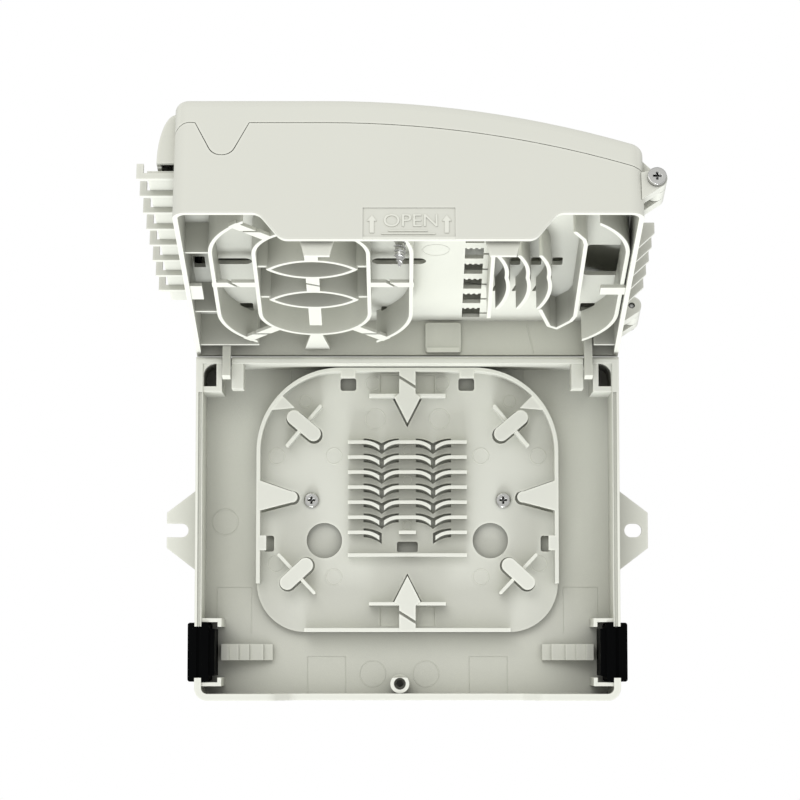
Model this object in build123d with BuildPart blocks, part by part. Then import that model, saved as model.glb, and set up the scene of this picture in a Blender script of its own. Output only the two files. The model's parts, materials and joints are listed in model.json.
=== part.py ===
from build123d import *
import os
from math import cos, radians, sin, sqrt

# Wall-mount fibre distribution box: a back shell with a splice tray, a swing panel hinged along
# the top edge and standing open, and a domed lid hinged on the panel's right end.
# Millimetres. The origin is the centre of the flat back face, +X right, +Y to the hinge, +Z out.

# Box outline
box_width = 200.0
box_length = 162.0
near_corner = 6.0
hinge_corner = 8.0

# Base shell
base_height = 32.0
back_wall = 2.5
base_wall = 3.2
base_edge_round = 1.5
seal_groove_width = 1.6
seal_groove_inset = 1.2
seal_groove_depth = 1.2

# Shell walls of the panel and the lid
shell_wall = 2.2
rim_gap = 0.4
seam_gap = 0.3
fit_gap = 0.4

# Panel hinge, just inside the back edge and below the rim
hinge_inset = 2.2
hinge_drop = 3.2
open_angle = 106.0
hinge_pin_radius = 1.3
hinge_pin_clearance = 0.05
arm_offset = 85.5
arm_thickness = 3.8
arm_side_gap = 0.4
arm_reach = 17.0
arm_width = 5.2
arm_tail = 13.0
knuckle_width = 5.6
knuckle_depth = 12.0
knuckle_height = 12.0
corner_pocket_round = 6.0
corner_pocket_depth = 24.0
corner_post_wall = 2.6
corner_post_length = 13.4

# Wall ears
ear_thickness = 3.0
ear_reach = 15.7
ear_root = 41.0
ear_tip = 17.0
ear_hole_width = 6.6
ear_hole_length = 8.4
ear_hole_offset = 108.6

# Cable seals in the side walls
seal_centre_y = -58.3
seal_length = 27.6
seal_outer = 3.2
seal_thickness = 9.8
seal_bulge = 2.8
seal_bulge_length = 22.0
seal_groove = 1.2
seal_corner = 2.4
seal_gap = 0.3
frame_wall = 1.8
frame_hook = 4.0

# Stepped cable ramps behind the seals
ramp_width = 7.7
ramp_start = 88.6
ramp_steps = (3.6, 4.6, 5.0, 6.6, 4.4)
ramp_height = 11.0
ramp_drop = 1.9

# Cover screw boss
boss_x = -3.6
boss_y = -73.2
boss_radius = 4.5
boss_height = 16.5
boss_bore_radius = 2.8
boss_pilot_radius = 1.65

# Splice tray
tray_width = 144.0
tray_length = 126.0
tray_centre_y = 14.3
tray_floor = 1.6
tray_wall = 1.8
tray_height = 12.0
tray_lift = 3.0
tray_top_corner = 40.0
tray_near_corner = 23.0
tray_tab = 1.6
comb_rows = 7
comb_pitch = 7.2
comb_top_y = 41.9
comb_half_width = 28.5
comb_height = 7.0
comb_rib = 1.6
comb_hook_gap_x = 12.3
comb_outer_root = 21.0
comb_bar_half = 4.1
comb_hook_tip = 1.1
comb_hook_drop = 2.7
comb_slot_width = 4.2
tray_screw_x = 46.0
tray_screw_head = 3.7
tray_screw_shank = 1.5
tray_hole_x = 39.8
tray_hole_y = -5.0
tray_hole_radius = 8.5
finger_width = 7.0

# Swing panel
floor_level = 17.5
floor_thickness = 2.0
lip_drop = 12.2
lip_left = -58.5
lip_right = 58.3
lip_ramp = 9.6
lip_round = 6.0
lip_band = 80.0
edge_level = 2.0
guide_wall = 1.8
drum_x = -42.6
drum_radius = 26.0
drum_half = 33.0
loop_radius = 45.0
loop_opening = 28.0
lens_offset = 17.0
lens_half_length = 20.4
cross_wall_y = 70.9
bridge_width = 5.0
bridge_thickness = 1.6
bridge_slit = 1.4
right_loop_x = 52.0
right_loop_clear = 82.0
fin_places = (43.6, 53.0, 62.4)
fin_far_radius = 64.0
fin_near_radius = 48.0
slope_points = (
    (72.0, -56.5),
    (76.2, -49.0),
    (77.2, -44.0),
    (77.2, 36.0),
    (75.6, 42.0),
    (69.4, 51.0),
    (65.6, 48.0),
    (60.8, 29.0),
)
port_count = 8
port_pitch = 17.15
fin_reach = 16.5
fin_thickness = 2.0
fin_level = 21.4
fin_height = 2.6
fin_post = 3.0
fin_post_height = 4.4
shelf_reach = 12.0
shelf_thickness = 1.4
port_width = 8.0
port_height = 11.6
port_level = 31.3
label_width = 39.0
label_height = 11.6
label_depth = 0.5

# Lid outline in the panel's side view
lid_top = 54.4
lid_curve_start = -35.0
lid_curve_radius = 425.0
skirt_height = 11.9
lid_edge_round = 4.5
seam_corner_drop = 3.7
seam_corner_width = 8.5
tab_left = -91.5
tab_right = -67.5
tab_bottom = 27.3
tab_flat = 3.7
tab_round = 5.8
hood_reach = 7.9
hood_top = 51.0
hood_bottom = 28.0
hood_half = 71.0
hood_wall = 1.8

# Lid hinge along the right end
lid_axis_out = 5.5
lid_axis_level = 17.2
lid_boss_radius = 4.5
lid_station_far = 150.0
lid_station_near = 12.0
lid_knuckle_length = 7.4
lid_boss_length = 6.0
lid_knuckle_gap = 0.3
pivot_screw_radius = 1.5
pivot_clearance = 0.05
pivot_head_radius = 4.0
pivot_head_height = 2.2

# Floor windows for adapters, with notched cradle ribs
adapter_x = 30.0
adapter_length = 27.4
adapter_width = 12.8
adapter_height = 9.4
adapter_flange_height = 12.2
adapter_flange_width = 15.0
cradle_wall = 1.6
cradle_gap = 0.15
cradle_offset = 6.2
cradle_height = 7.0

# Captive cover screw
cover_screw_radius = 2.0
cover_screw_head = 4.0
cover_screw_head_height = 2.6
cover_screw_tip = 21.3
cover_screw_cone = 5.0
screw_tube_radius = 5.0
washer_radius = 3.6
washer_thickness = 0.8

# Fingers of the tray and the cut-outs under them
side_finger_reach = 17.0
side_finger_root_far = 9.2
side_finger_root_near = -5.6
side_finger_tip_far = 3.6
side_finger_tip_near = -1.4
side_finger_tip_y = 1.1
side_finger_tip_radius = 2.6
side_cut_root_far = 9.6
side_cut_root_near = -6.0
side_cut_tip_far = 4.3
side_cut_tip_near = -2.1
side_cut_tip_radius = 3.3
side_cut_gap = 0.2
diagonal_far_x = 49.5
diagonal_far_y = 35.2
diagonal_far_turn = 40
diagonal_near_x = 52.8
diagonal_near_y = 35.5
diagonal_near_turn = 43
diagonal_length = 19.0
diagonal_cut_length = 20.2
diagonal_cut_margin = 1.2
diagonal_rib_length = 26.0
arrow_shaft_half = 3.9
arrow_shaft_length = 11.4
arrow_head_half = 6.2
arrow_head_start = 13.4
arrow_length = 25.6
arrow_slit_place = 6.0
arrow_slit_length = 16.0
arrow_slit_width = 1.3
arrow_slit_turn = -32
arrow_bar_place = 12.4
arrow_bar_length = 36.6
arrow_cut_half = 7.0
arrow_cut_start = 13.2
arrow_cut_length = 27.0
arrow_window_x = 8.8
arrow_window_place = 6.4
arrow_window_width = 8.6
arrow_window_length = 9.0
wall_tab_x = 28.4
wall_tab_y = -20.8
wall_tab_width = 7.0
wall_tab_reach = 4.8
wall_tab_window_width = 7.6
wall_tab_window_round = 1.2
end_tab_window_inset = 7.2
end_tab_window_reach = 6.0
side_tab_window_inset = 5.6
side_tab_window_reach = 5.0
shelf_window_lift = 4.0
shelf_window_width = 10.0
shelf_window_depth = 5.0
shelf_window_round = 1.0
tray_screw_clearance = 0.3
tray_screw_head_height = 1.8
tray_screw_edge = 0.6

# Guides, pads and openings of the swing panel
lens_depth = 10.0
lens_bar_width = 6.0
lens_bar_bite = 17.0
lens_slit_length = 10.0
lens_slit_turn = 25
far_bar_width = 5.8
far_bar_length = 20.0
near_bar_length = 23.0
brace_root_half = 2.5
brace_foot_half = 6.0
brace_wall_gap = 4.5
cross_wall_left_end = -70.0
cross_wall_right_end = 88.0
cross_wall_thickness = 1.3
pad_x = 17.0
pad_level = 8.2
pad_width = 16.9
pad_height = 15.5
pad_corner = 1.5
pad_thickness = 1.7
pad_bite = 0.1
bridge_bite = 0.6
bridge_slit_turn = -38
bridge_slit_length = 14
bridge_turn = 44
bridge_side_share = 0.72
bridge_end_share = 0.69
side_tab_drop = 1.5
left_tab_y = 5.4
left_tab_reach = 6.6
left_tab_length = 15.0
right_tab_y = 3.6
right_tab_reach = 12.4
right_tab_length = 7.6
fin_wall_x = 37.4
fin_wall_y = 3.5
fin_wall_length = 70.0
left_slot_x = -79.2
left_slot_length = 17.0
drum_slot_x = -4.0
drum_slot_length = 24.6
floor_slot_y = 8.7
floor_slot_width = 6.6
edge_window_x = -94.6
edge_window_y = 9.4
edge_window_width = 5.2
edge_window_length = 12.0
fin_window_places = (48.8, 58.3, 67.9)
fin_window_y = 8.6
fin_window_width = 4.7
fin_window_length = 8.4
fin_window_round = 1.0
large_window_x = 88.6
large_window_y = 7.4
large_window_width = 17.0
large_window_length = 34.0
large_window_round = 3.0
adapter_window_width = 8.4
adapter_window_length = 11.6
adapter_notch_x = 6.4
adapter_notch_y = 0.6
adapter_notch_length = 4.4
adapter_notch_width = 1.8
fin_slit_places = (43.4, 52.9, 62.4)
fin_slit_near = 34.9
fin_slit_far = 42.0
fin_slit_near_lean = 1.8
fin_slit_far_lean = 3.6
arm_window_left = (-77.6, 62.0)
arm_window_middle = (-7.4, 66.0)
arm_window_right = (86.2, 62.0)
arm_window_width = 9.8
arm_window_length = 10.0
arm_window_round = 1.0
shelf_slot_inset = 4.0
shelf_slot_width = 1.4
shelf_slot_gap = 1.2
snap_tongue_left = -38.6
snap_tongue_left_root = 16.0
snap_tongue_left_tip = 10.8
snap_tongue_right = 40.0
snap_tongue_right_root = 17.6
snap_tongue_right_tip = 11.0
snap_tongue_start = -7.0
snap_tongue_drop = 5.6
snap_tongue_gap = 3.4
snap_tongue_thickness = 1.8
snap_tongue_foot = 3.0
cover_screw_clearance = 0.3
cover_tube_drop = 2.0
label_overlap = 3.0
hood_strip_gap = 2.4

# Small sizes of the base, seals, hinges and grommets
lip_cut_bite = 0.5
pocket_side_gap = 0.4
pocket_round_margin = 0.5
notch_floor = 1.4
bore_past = 1.0
boss_bore_share = 0.55
seal_sill = 2.0
seal_frame_margin = 1.2
seal_hook_reach = 7.6
seal_frame_drop = 1.0
tray_foot_radius = 4.0
tray_foot_gap = 0.02
comb_shelf_gap = 3.6
seal_top_gap = 0.3
seal_bulge_bite = 0.5
seal_bulge_drop = 1.5
seal_slot_play = 0.2
seal_top_groove_depth = 0.8
seam_bend_side = 0.28
seam_bend_drop = 0.34
fin_far_y = 27.0
fin_middle_y = -8.0
fin_near_y = -31.5
fin_far_lean = 2.6
fin_middle_lean = 0.4
fin_near_lean = 4.0
lens_brace_drop = 1.5
lens_brace_bite = 2.0
drum_brace_reach = 11.6
drum_brace_thickness = 1.3
arm_root_level = 0.5
arm_eye_wall = 1.2
stub_reach = 2.2
side_rib_first = 30.0
side_rib_step = 15.0
side_rib_reach = 8.4
side_rib_foot = 4.0
side_rib_slope = 4.0
side_rib_top = 1.0
side_rib_thickness = 1.6
label_x = 0.3
tip_radius = 0.3
washer_place = 2.0
grommet_play = 0.2
grommet_flange_height = 1.6
grommet_flange_width = 2.0
grommet_flange_thickness = 1.6

# Derived places
half_width = box_width / 2
half_length = box_length / 2
hinge_y = half_length - hinge_inset
hinge_z = base_height - hinge_drop
adapter_step = (adapter_flange_height - adapter_height) / 2
drive_cross = 0.9
drive_depth = 1.6


def turned(y, z):
    """Turn a direction from the closed panel to the open one."""
    angle = radians(open_angle)
    return (0, y * cos(angle) + z * sin(angle), z * cos(angle) - y * sin(angle))


# The panel's frame: closed, its origin lies over the box centre in the rim plane, +Z out.
rim_shift = Vector(turned(-hinge_y, hinge_drop + rim_gap))
swing = Plane(
    origin=Vector(0, hinge_y, hinge_z) + rim_shift,
    x_dir=(1, 0, 0),
    z_dir=turned(0, 1),
)


def front_view(frame, y):
    """Plane whose sketch axes are the frame's X and Z, facing the near end."""
    return Plane(frame.from_local_coords((0, y, 0)), x_dir=frame.x_dir, z_dir=-frame.y_dir)


def side_view(frame, x):
    """Plane whose sketch axes are the frame's Y and Z, facing right."""
    return Plane(frame.from_local_coords((x, 0, 0)), x_dir=frame.y_dir, z_dir=frame.x_dir)


def outline(inset):
    """Box outline with its two corner sizes, drawn in the open sketch."""
    with BuildSketch(mode=Mode.PRIVATE) as shape:
        Rectangle(box_width - 2 * inset, box_length - 2 * inset)
        near = shape.vertices().group_by(Axis.Y)[0]
        far = shape.vertices().group_by(Axis.Y)[-1]
        fillet(near, near_corner - min(inset, near_corner - 1))
        fillet(far, hinge_corner - min(inset, hinge_corner - 1))
    return shape.sketch


def dome_drop(x):
    """How far the lid's curve lies below its flat top at one X."""
    past = max(0.0, x - lid_curve_start)
    return lid_curve_radius - sqrt(lid_curve_radius**2 - past**2)


def lip_profile(low, gap):
    """Front view of the panel's lip below the rim, grown by a gap."""
    with BuildSketch(mode=Mode.PRIVATE) as shape:
        with BuildLine():
            Polyline(
                (-lip_band, lip_round),
                (-lip_band, 0),
                (lip_left - lip_ramp / 2 - gap, 0),
                (lip_left + lip_ramp / 2 - gap, low - gap),
                (lip_right - lip_ramp / 2 + gap, low - gap),
                (lip_right + lip_ramp / 2 + gap, 0),
                (lip_band, 0),
                (lip_band, lip_round),
                close=True,
            )
        make_face()
        bends = shape.vertices().filter_by_position(Axis.X, -lip_band + 1, lip_band - 1)
        fillet(bends, lip_round)
    return shape.sketch


def drive_face():
    """Cross-shaped outline of a screw recess."""
    with BuildSketch(mode=Mode.PRIVATE) as shape:
        Rectangle(4 * drive_cross, drive_cross)
        Rectangle(drive_cross, 4 * drive_cross)
    return shape.sketch


os.makedirs("parts", exist_ok=True)

# Base housing
ear_outer = half_width + ear_reach
lug_inner = arm_offset + arm_thickness / 2 + arm_side_gap
knuckle_outer = arm_offset - arm_thickness / 2 - arm_side_gap
with BuildPart() as base_housing:
    with BuildSketch():
        add(outline(0))
    extrude(amount=base_height)
    back_edges = base_housing.edges().group_by(Axis.Z)[0]
    fillet(back_edges, base_edge_round)
    far_rim = base_housing.edges().group_by(Axis.Z)[-1].sort_by(Axis.Y)[-1]
    fillet(far_rim, base_edge_round)
    with BuildSketch(Plane.XY.offset(back_wall)):
        add(outline(base_wall))
    extrude(amount=base_height, mode=Mode.SUBTRACT)
    # Lowered near wall under the panel's lip
    with BuildSketch(front_view(Plane.XY.offset(base_height), -half_length + base_wall + lip_cut_bite)):
        add(lip_profile(-lip_drop, fit_gap))
    extrude(amount=base_wall + 2, mode=Mode.SUBTRACT)
    # Sealing groove along both side walls
    groove_x = half_width - seal_groove_inset - seal_groove_width / 2
    groove_length = box_length - near_corner - hinge_corner - corner_post_length
    with BuildSketch(Plane.XY.offset(base_height)):
        with Locations((groove_x, -near_corner / 2), (-groove_x, -near_corner / 2)):
            Rectangle(seal_groove_width, groove_length)
    extrude(amount=-seal_groove_depth, mode=Mode.SUBTRACT)
    # Wall ears
    with BuildSketch():
        with BuildLine():
            Polyline(
                (half_width - base_wall, -ear_root / 2),
                (half_width, -ear_root / 2),
                (ear_outer, -ear_tip / 2),
                (ear_outer, ear_tip / 2),
                (half_width, ear_root / 2),
                (half_width - base_wall, ear_root / 2),
                close=True,
            )
        make_face()
        mirror(about=Plane.YZ)
        with Locations((ear_hole_offset, 0)):
            SlotOverall(ear_hole_length, ear_hole_width, mode=Mode.SUBTRACT)
        with Locations((-ear_hole_offset, 0)):
            Circle(ear_hole_width / 2, mode=Mode.SUBTRACT)
        with Locations((-ear_hole_offset - ear_reach / 2, 0)):
            Rectangle(ear_reach, ear_hole_width, mode=Mode.SUBTRACT)
    extrude(amount=ear_thickness)
    # Corner posts with their pockets, and the knuckles beside the panel's arms
    post_near = half_length - base_wall - corner_post_length
    with BuildSketch(Plane.XY.offset(back_wall)):
        with Locations((lug_inner, post_near)):
            Rectangle(
                half_width - base_wall - lug_inner + 1,
                corner_post_length + 1,
                align=(Align.MIN, Align.MIN),
            )
        mirror(about=Plane.YZ)
        add(outline(base_wall / 2), mode=Mode.INTERSECT)
    extrude(amount=base_height - back_wall - base_edge_round / 2)
    with BuildSketch(Plane.XY.offset(base_height)) as pockets:
        pocket_x = lug_inner + corner_post_wall
        pocket_width = half_width - base_wall - pocket_side_gap - pocket_x
        with Locations((pocket_x, post_near + corner_post_wall)):
            Rectangle(
                pocket_width,
                corner_post_length - corner_post_wall,
                align=(Align.MIN, Align.MIN),
            )
        outer_corner = pockets.vertices().group_by(Axis.Y)[-1].sort_by(Axis.X)[-1]
        fillet(outer_corner, min(corner_pocket_round, pocket_width - pocket_round_margin))
        mirror(about=Plane.YZ)
    extrude(amount=-corner_pocket_depth, mode=Mode.SUBTRACT)
    with BuildSketch(Plane.XY.offset(base_height - base_edge_round / 2)):
        with Locations((knuckle_outer - knuckle_width / 2, half_length - base_wall + 1)):
            Rectangle(knuckle_width, knuckle_depth + 1, align=(Align.CENTER, Align.MAX))
        mirror(about=Plane.YZ)
    extrude(amount=-knuckle_height)
    # Notches in the back wall for the arms, and bores for their pin stubs
    notch_width = arm_thickness + 2 * arm_side_gap
    with BuildSketch(front_view(Plane.XY, half_length + 1)):
        with Locations((arm_offset, base_height + 1), (-arm_offset, base_height + 1)):
            Rectangle(
                notch_width, 2 * hinge_drop + notch_floor, align=(Align.CENTER, Align.MAX)
            )
    extrude(amount=base_wall + 2, mode=Mode.SUBTRACT)
    bore_half = knuckle_width / 2 + notch_width / 2 + bore_past
    for side in (-1, 1):
        with BuildSketch(side_view(Plane.XY, side * arm_offset - bore_half)):
            with Locations((hinge_y, hinge_z)):
                Circle(hinge_pin_radius + hinge_pin_clearance)
        extrude(amount=2 * bore_half, mode=Mode.SUBTRACT)
    # Screw boss for the cover
    with BuildSketch(Plane.XY.offset(back_wall)):
        with Locations((boss_x, boss_y)):
            Circle(boss_radius)
    extrude(amount=boss_height)
    with Locations(Plane.XY.offset(back_wall + boss_height)):
        with Locations((boss_x, boss_y)):
            CounterBoreHole(
                boss_pilot_radius,
                boss_bore_radius,
                boss_height * boss_bore_share,
                depth=boss_height - 1,
            )
    # Windows in the side walls for the seals, with their hooked frames
    window_height = base_height - back_wall - seal_sill
    with BuildSketch(side_view(Plane.XY, -half_width - 1)):
        with Locations((seal_centre_y, base_height)):
            Rectangle(
                seal_length - 2 * seal_groove - seal_frame_margin,
                window_height,
                align=(Align.CENTER, Align.MAX),
            )
    extrude(amount=box_width + 2, mode=Mode.SUBTRACT)
    frame_y = seal_length / 2 + seal_gap
    frame_x = half_width - base_wall
    with BuildSketch(Plane.XY.offset(back_wall)):
        for end in (-1, 1):
            with Locations((frame_x, seal_centre_y + end * (frame_y + frame_wall / 2))):
                Rectangle(seal_hook_reach, frame_wall, align=(Align.MAX, Align.CENTER))
            hook_y = seal_centre_y + end * (frame_y + frame_wall - frame_hook / 2)
            with Locations((frame_x - seal_hook_reach, hook_y)):
                Rectangle(frame_wall, frame_hook, align=(Align.MAX, Align.CENTER))
        mirror(about=Plane.YZ)
    extrude(amount=base_height - back_wall - seal_frame_drop)
    # Stepped ramps that lift the cables to the seals
    step_end = ramp_start
    for number, step in enumerate(ramp_steps):
        with BuildSketch(Plane.XY.offset(back_wall)):
            with Locations((step_end, seal_centre_y)):
                Rectangle(step, ramp_width, align=(Align.MAX, Align.CENTER))
            mirror(about=Plane.YZ)
        extrude(amount=ramp_height - number * ramp_drop)
        step_end -= step
    # Posts under the tray's two screws
    with BuildSketch(Plane.XY.offset(back_wall)):
        with Locations((tray_screw_x, tray_centre_y), (-tray_screw_x, tray_centre_y)):
            Circle(tray_foot_radius)
    extrude(amount=tray_lift - tray_foot_gap)
    with Locations(Plane.XY.offset(back_wall + tray_lift)):
        with Locations((tray_screw_x, tray_centre_y), (-tray_screw_x, tray_centre_y)):
            Hole(tray_screw_shank, depth=tray_lift + 1)
base_housing.part.label = "base_housing"
export_step(base_housing.part, "parts/base_housing.step")

# Splice tray
tray_base = back_wall + tray_lift
tray_frame = Plane((0, tray_centre_y, tray_base))


def tray_outline(inset):
    """Rounded outline of the tray."""
    with BuildSketch(mode=Mode.PRIVATE) as shape:
        Rectangle(tray_width - 2 * inset, tray_length - 2 * inset)
        fillet(shape.vertices().group_by(Axis.Y)[0], tray_near_corner - inset)
        fillet(shape.vertices().group_by(Axis.Y)[-1], tray_top_corner - inset)
    return shape.sketch


def hook_shape(root, tip, row_y, width):
    """Arc strip that leaves its root level and drops to a square tip."""
    reach = abs(tip - root)
    radius = (reach**2 + comb_hook_drop**2) / (2 * comb_hook_drop)
    with BuildSketch(mode=Mode.PRIVATE) as shape:
        with Locations((root, row_y - radius)):
            Circle(radius + width / 2)
            Circle(radius - width / 2, mode=Mode.SUBTRACT)
        with Locations(((root + tip) / 2, row_y)):
            Rectangle(reach, radius, mode=Mode.INTERSECT)
    return shape.sketch


with BuildPart() as splice_tray:
    with BuildSketch(tray_frame):
        add(tray_outline(0))
    extrude(amount=tray_height)
    with BuildSketch(tray_frame.offset(tray_floor)):
        add(tray_outline(tray_wall))
    extrude(amount=tray_height, mode=Mode.SUBTRACT)
    # The wall stops at both near corners, where fibres leave
    gap_x = tray_width / 2 - tray_near_corner
    gap_y = -tray_length / 2 + tray_near_corner
    with BuildSketch(tray_frame.offset(tray_floor)):
        for side in (-1, 1):
            with Locations((side * gap_x, gap_y)):
                Rectangle(
                    tray_near_corner + 1,
                    tray_near_corner + 1,
                    align=(Align.MIN if side > 0 else Align.MAX, Align.MAX),
                )
    extrude(amount=tray_height, mode=Mode.SUBTRACT)
    # Splice comb: straight ribs with pairs of hooked ends over V slots
    for row in range(comb_rows):
        row_y = comb_top_y - row * comb_pitch - tray_centre_y
        full = row < comb_rows - 1
        with BuildSketch(tray_frame.offset(tray_floor)):
            for side in (-1, 1):
                with Locations((side * (comb_outer_root + comb_half_width) / 2, row_y)):
                    Rectangle(comb_half_width - comb_outer_root, comb_rib)
                gap_centre = side * comb_hook_gap_x
                add(hook_shape(side * comb_outer_root, gap_centre + side * comb_hook_tip, row_y, comb_rib))
                if full:
                    add(hook_shape(side * comb_bar_half, gap_centre - side * comb_hook_tip, row_y, comb_rib))
            with Locations((0, row_y)):
                Rectangle(2 * comb_bar_half, comb_rib)
        extrude(amount=comb_height)
        with BuildSketch(tray_frame):
            for side in (-1, 1):
                gap_centre = side * comb_hook_gap_x
                add(hook_shape(side * comb_outer_root, gap_centre, row_y, comb_slot_width))
                if full:
                    add(hook_shape(side * comb_bar_half, gap_centre, row_y, comb_slot_width))
        extrude(amount=tray_floor, mode=Mode.SUBTRACT)
    shelf_y = comb_top_y - comb_rows * comb_pitch - comb_shelf_gap - tray_centre_y
    with BuildSketch(tray_frame.offset(tray_floor)):
        with Locations((0, shelf_y)):
            Rectangle(2 * comb_half_width, comb_rib)
    extrude(amount=comb_height)
    # Cut-outs in the floor under the fingers
    with BuildSketch(tray_frame):
        with BuildLine():
            Polyline(
                (tray_width / 2 - tray_wall - side_cut_gap, side_cut_root_far),
                (tray_width / 2 - tray_wall - side_cut_gap, side_cut_root_near),
                (tray_width / 2 - side_finger_reach, side_cut_tip_near),
                (tray_width / 2 - side_finger_reach, side_cut_tip_far),
                close=True,
            )
        make_face()
        with Locations((tray_width / 2 - side_finger_reach, side_finger_tip_y)):
            Circle(side_cut_tip_radius)
        mirror(about=Plane.YZ)
        for end in (-1, 1):
            root_y = end * (tray_length / 2 - tray_wall / 2)
            with BuildLine():
                Polyline(
                    (-arrow_cut_half, root_y - end * arrow_cut_start),
                    (0, root_y - end * arrow_cut_length),
                    (arrow_cut_half, root_y - end * arrow_cut_start),
                    close=True,
                )
            make_face()
    extrude(amount=tray_floor, mode=Mode.SUBTRACT)
    # Side fingers, wide at the wall and rounded at the tip
    finger_plane = tray_frame.offset(tray_height - tray_tab)
    with BuildSketch(finger_plane):
        with BuildLine():
            Polyline(
                (tray_width / 2 - tray_wall / 2, side_finger_root_far),
                (tray_width / 2 - tray_wall / 2, side_finger_root_near),
                (tray_width / 2 - side_finger_reach, side_finger_tip_near),
                (tray_width / 2 - side_finger_reach, side_finger_tip_far),
                close=True,
            )
        make_face()
        with Locations((tray_width / 2 - side_finger_reach, side_finger_tip_y)):
            Circle(side_finger_tip_radius)
        mirror(about=Plane.YZ)
    extrude(amount=tray_tab)
    # Diagonal fingers on posts with curved guide walls
    finger_centres = (
        (-diagonal_far_x, diagonal_far_y, -diagonal_far_turn),
        (diagonal_far_x, diagonal_far_y, diagonal_far_turn),
        (-diagonal_near_x, -diagonal_near_y, diagonal_near_turn),
        (diagonal_near_x, -diagonal_near_y, -diagonal_near_turn),
    )
    for x, y, angle in finger_centres:
        with BuildSketch(tray_frame):
            with Locations((x, y)):
                SlotOverall(diagonal_cut_length, finger_width + diagonal_cut_margin, rotation=angle)
        extrude(amount=tray_floor, mode=Mode.SUBTRACT)
        with BuildSketch(finger_plane):
            with Locations((x, y)):
                SlotOverall(diagonal_length, finger_width, rotation=angle)
        extrude(amount=tray_tab)
        with BuildSketch(tray_frame.offset(tray_floor)):
            with Locations((x, y)):
                SlotOverall(diagonal_rib_length, comb_rib, rotation=angle + 90)
        extrude(amount=tray_height - tray_floor - tray_tab / 2)
    # Arrow fingers at the far and near walls
    for end in (-1, 1):
        root_y = end * (tray_length / 2 - tray_wall / 2)
        with BuildSketch(finger_plane):
            with BuildLine():
                Polyline(
                    (-arrow_shaft_half, root_y),
                    (-arrow_shaft_half, root_y - end * arrow_shaft_length),
                    (-arrow_head_half, root_y - end * arrow_head_start),
                    (0, root_y - end * arrow_length),
                    (arrow_head_half, root_y - end * arrow_head_start),
                    (arrow_shaft_half, root_y - end * arrow_shaft_length),
                    (arrow_shaft_half, root_y),
                    close=True,
                )
            make_face()
            with Locations((0, root_y - end * arrow_slit_place)):
                Rectangle(
                    arrow_slit_length,
                    arrow_slit_width,
                    rotation=arrow_slit_turn,
                    mode=Mode.SUBTRACT,
                )
        extrude(amount=tray_tab)
        with BuildSketch(tray_frame.offset(tray_floor)):
            with Locations((0, root_y - end * arrow_bar_place)):
                Rectangle(arrow_bar_length, comb_rib)
        extrude(amount=tray_height - tray_floor - tray_tab / 2)
        with BuildSketch(tray_frame):
            window_y = root_y - end * arrow_window_place
            with Locations((-arrow_window_x, window_y), (arrow_window_x, window_y)):
                Rectangle(arrow_window_width, arrow_window_length)
        extrude(amount=tray_floor, mode=Mode.SUBTRACT)
    # Retaining tabs on the walls, each over its window
    end_window_y = tray_length / 2 - end_tab_window_inset
    side_window_x = tray_width / 2 - side_tab_window_inset
    with BuildSketch(tray_frame):
        with Locations((-wall_tab_x, end_window_y), (wall_tab_x, end_window_y)):
            RectangleRounded(wall_tab_window_width, end_tab_window_reach, wall_tab_window_round)
        with Locations((-side_window_x, wall_tab_y), (side_window_x, wall_tab_y)):
            RectangleRounded(side_tab_window_reach, wall_tab_window_width, wall_tab_window_round)
        with Locations((0, shelf_y + shelf_window_lift)):
            RectangleRounded(shelf_window_width, shelf_window_depth, shelf_window_round)
        with Locations(
            (-tray_hole_x, tray_hole_y - tray_centre_y), (tray_hole_x, tray_hole_y - tray_centre_y)
        ):
            Circle(tray_hole_radius)
    extrude(amount=tray_floor, mode=Mode.SUBTRACT)
    with BuildSketch(finger_plane):
        end_tab_y = tray_length / 2 - wall_tab_reach / 2
        side_tab_x = tray_width / 2 - wall_tab_reach / 2
        with Locations((-wall_tab_x, end_tab_y), (wall_tab_x, end_tab_y)):
            Rectangle(wall_tab_width, wall_tab_reach)
        with Locations((-side_tab_x, wall_tab_y), (side_tab_x, wall_tab_y)):
            Rectangle(wall_tab_reach, wall_tab_width)
    extrude(amount=tray_tab)
    with Locations(tray_frame.offset(tray_floor)):
        with Locations((tray_screw_x, 0), (-tray_screw_x, 0)):
            Hole(tray_screw_shank + tray_screw_clearance, depth=tray_floor + 1)
splice_tray.part.label = "splice_tray"
export_step(splice_tray.part, "parts/splice_tray.step")

# Two screws that hold the tray
with BuildPart() as tray_screws:
    seat = Plane.XY.offset(tray_base + tray_floor)
    for x in (-tray_screw_x, tray_screw_x):
        with BuildSketch(seat):
            with Locations((x, tray_centre_y)):
                Circle(tray_screw_head)
        extrude(amount=tray_screw_head_height)
        with BuildSketch(seat):
            with Locations((x, tray_centre_y)):
                Circle(tray_screw_shank)
        extrude(amount=-tray_floor - tray_lift)
    chamfer(tray_screws.edges().group_by(Axis.Z)[-1], tray_screw_edge)
    with BuildSketch(seat.offset(tray_screw_head_height)):
        with Locations((tray_screw_x, tray_centre_y), (-tray_screw_x, tray_centre_y)):
            add(drive_face())
    extrude(amount=-drive_depth, mode=Mode.SUBTRACT)
tray_screws.part.label = "tray_screws"
export_step(tray_screws.part, "parts/tray_screws.step")

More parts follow.
